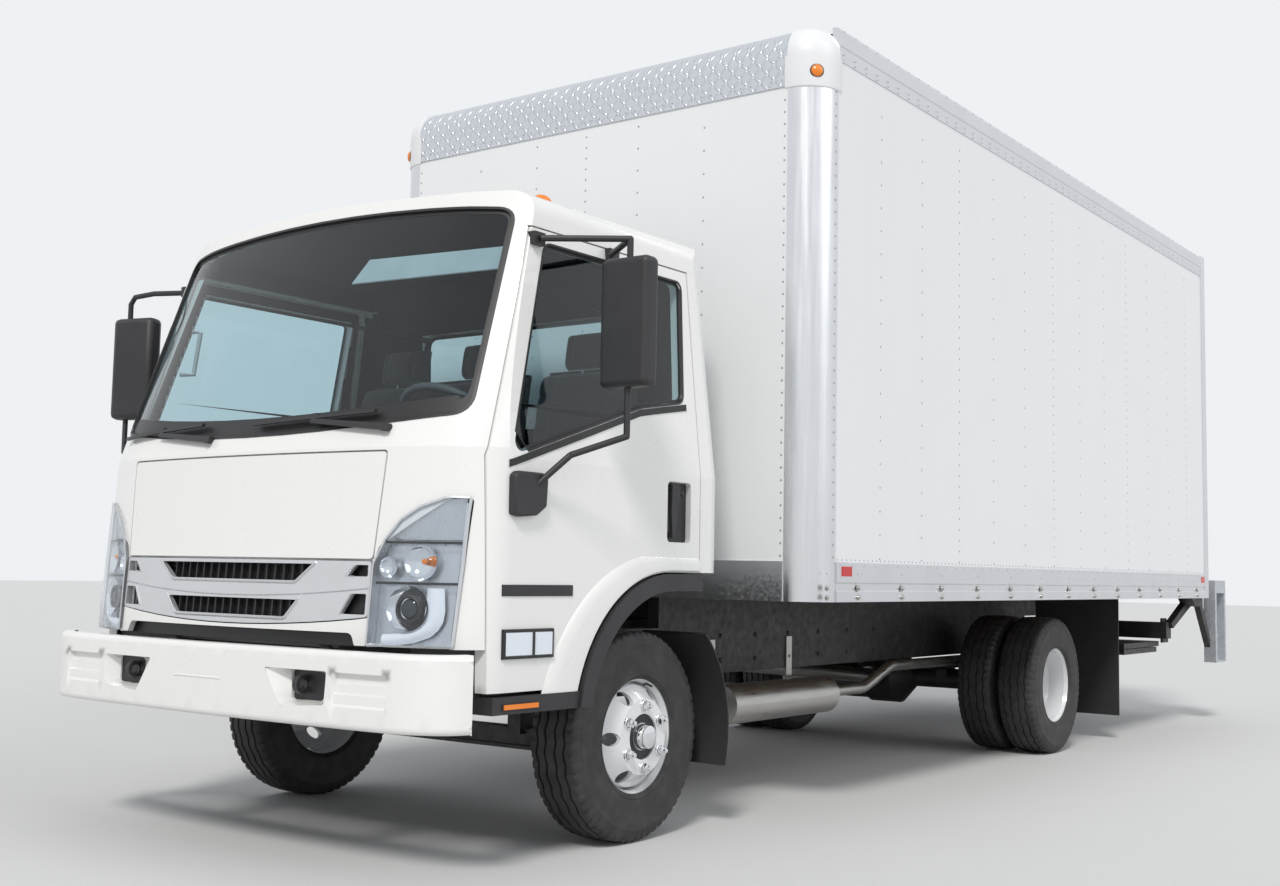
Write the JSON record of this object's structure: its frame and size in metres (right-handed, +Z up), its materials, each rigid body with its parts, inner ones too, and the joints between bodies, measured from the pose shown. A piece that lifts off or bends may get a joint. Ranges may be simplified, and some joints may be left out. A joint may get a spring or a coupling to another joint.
{
  "type": "box truck",
  "caption": "Low cab forward truck with a tilting cab, hinged doors, steered front wheels, twin rear wheels, a van body and a folded lift under its tail.",
  "frame": {"origin": "on the ground below the middle of the overall length and width, wheels on z = 0", "axes": "+Z up, +Y towards the rear, +X towards the left side, where the driver sits"},
  "size_m": [2.62, 7.91, 3.2659],
  "materials": {
    "cab_white": "gloss",
    "body_white": "semi-gloss sheet",
    "frame_black": "satin",
    "cast_iron": "rough",
    "steel": "plain",
    "aluminium": "mill",
    "galvanised": "galvanised",
    "wood": "oiled planks",
    "rubber": "matt",
    "tyre": "matt",
    "rim_white": "gloss",
    "window_glass": "clear",
    "lamp_clear": "clear",
    "lamp_amber": "clear",
    "lamp_red": "clear",
    "grille_silver": "satin metallic",
    "trim_black": "grained",
    "trim_grey": "grained",
    "seat_cloth": "woven"
  },
  "bodies": {
    "chassis": {"frame_rails": "frame_black", "frame_crossmembers": "frame_black", "engine_block": "cast_iron", "front_axle_beam": "frame_black", "rear_axle_housing": "frame_black", "leaf_springs": "frame_black", "propshaft": "steel", "exhaust": "steel", "fuel_tank": "frame_black", "front_bumper": "cab_white", "mudguards": "rubber", "box_subframe": "frame_black", "box_floor": "wood", "box_rails": "aluminium", "box_side_walls": "body_white", "box_front_wall": "body_white", "box_corner_posts": "aluminium", "box_corner_caps": "body_white", "box_nose": "aluminium", "box_roof": "body_white", "box_rear_frame": "aluminium", "roll_up_door": "body_white", "box_lamps": "lamp_red", "lift_frame": "galvanised", "lift_gear": "frame_black"},
    "cab": {"cab_floor": "trim_grey", "cab_front": "cab_white", "cab_roof": "cab_white", "cab_back": "cab_white", "cab_glass": "window_glass", "grille": "grille_silver", "headlamps": "lamp_clear", "arch_flares": "trim_black", "wipers": "trim_black", "dashboard": "trim_grey", "steering_wheel": "trim_grey", "seats": "seat_cloth", "cab_lamps": "lamp_amber"},
    "front_cover": {"front_cover": "cab_white"},
    "tie_rod": {"tie_rod": "steel"},
    "door_left": {"door_left": "cab_white", "door_glass_left": "window_glass", "mirror_left": "trim_black"},
    "knuckle_left": {"knuckle_left": "cast_iron"},
    "wheel_front_left": {"front_rim_left": "rim_white", "front_tyre_left": "tyre"},
    "wheel_rear_left": {"rear_rims_left": "rim_white", "rear_tyres_left": "tyre"},
    "door_right": {"door_right": "cab_white", "door_glass_right": "window_glass", "mirror_right": "trim_black"},
    "knuckle_right": {"knuckle_right": "cast_iron"},
    "wheel_front_right": {"front_rim_right": "rim_white", "front_tyre_right": "tyre"},
    "wheel_rear_right": {"rear_rims_right": "rim_white", "rear_tyres_right": "tyre"}
  },
  "joints": [
    {"name": "cab_tilt", "type": "hinge", "parent": "chassis", "child": "cab", "pos_m": [0, -3.765, 0.73], "axis": [1, 0, 0], "range_deg": [0, 45]},
    {"name": "front_cover_hinge", "type": "hinge", "parent": "cab", "child": "front_cover", "pos_m": [0, -3.838, 1.346], "axis": [-1, 0, 0], "range_deg": [0, 70]},
    {"name": "door_left_hinge", "type": "hinge", "parent": "cab", "child": "door_left", "pos_m": [1.003, -3.663, 1.2], "axis": [0, 0, -1], "range_deg": [0, 70]},
    {"name": "door_right_hinge", "type": "hinge", "parent": "cab", "child": "door_right", "pos_m": [-1.003, -3.663, 1.2], "axis": [0, 0, 1], "range_deg": [0, 70]},
    {"name": "steer_left", "type": "hinge", "parent": "chassis", "child": "knuckle_left", "pos_m": [0.69, -2.755, 0.381], "axis": [0, 0, 1], "range_deg": [-36, 36]},
    {"name": "steer_right", "type": "hinge", "parent": "chassis", "child": "knuckle_right", "pos_m": [-0.69, -2.755, 0.381], "axis": [0, 0, 1], "range_deg": [-36, 36]},
    {"name": "tie_rod_pivot", "type": "hinge", "parent": "knuckle_left", "child": "tie_rod", "pos_m": [0.69, -2.59, 0.338], "axis": [0, 0, 1], "range_deg": [-36, 36]},
    {"name": "front_wheel_left_spin", "type": "hinge", "parent": "knuckle_left", "child": "wheel_front_left", "pos_m": [0.827, -2.755, 0.381], "axis": [1, 0, 0], "continuous": true},
    {"name": "front_wheel_right_spin", "type": "hinge", "parent": "knuckle_right", "child": "wheel_front_right", "pos_m": [-0.827, -2.755, 0.381], "axis": [1, 0, 0], "continuous": true},
    {"name": "rear_wheels_left_spin", "type": "hinge", "parent": "chassis", "child": "wheel_rear_left", "pos_m": [0.834, 1.055, 0.381], "axis": [1, 0, 0], "continuous": true},
    {"name": "rear_wheels_right_spin", "type": "hinge", "parent": "chassis", "child": "wheel_rear_right", "pos_m": [-0.834, 1.055, 0.381], "axis": [1, 0, 0], "continuous": true}
  ],
  "couplings": [
    {"joint": "steer_right", "follows": "steer_left", "ratio": 1},
    {"joint": "tie_rod_pivot", "follows": "steer_left", "ratio": -1}
  ]
}
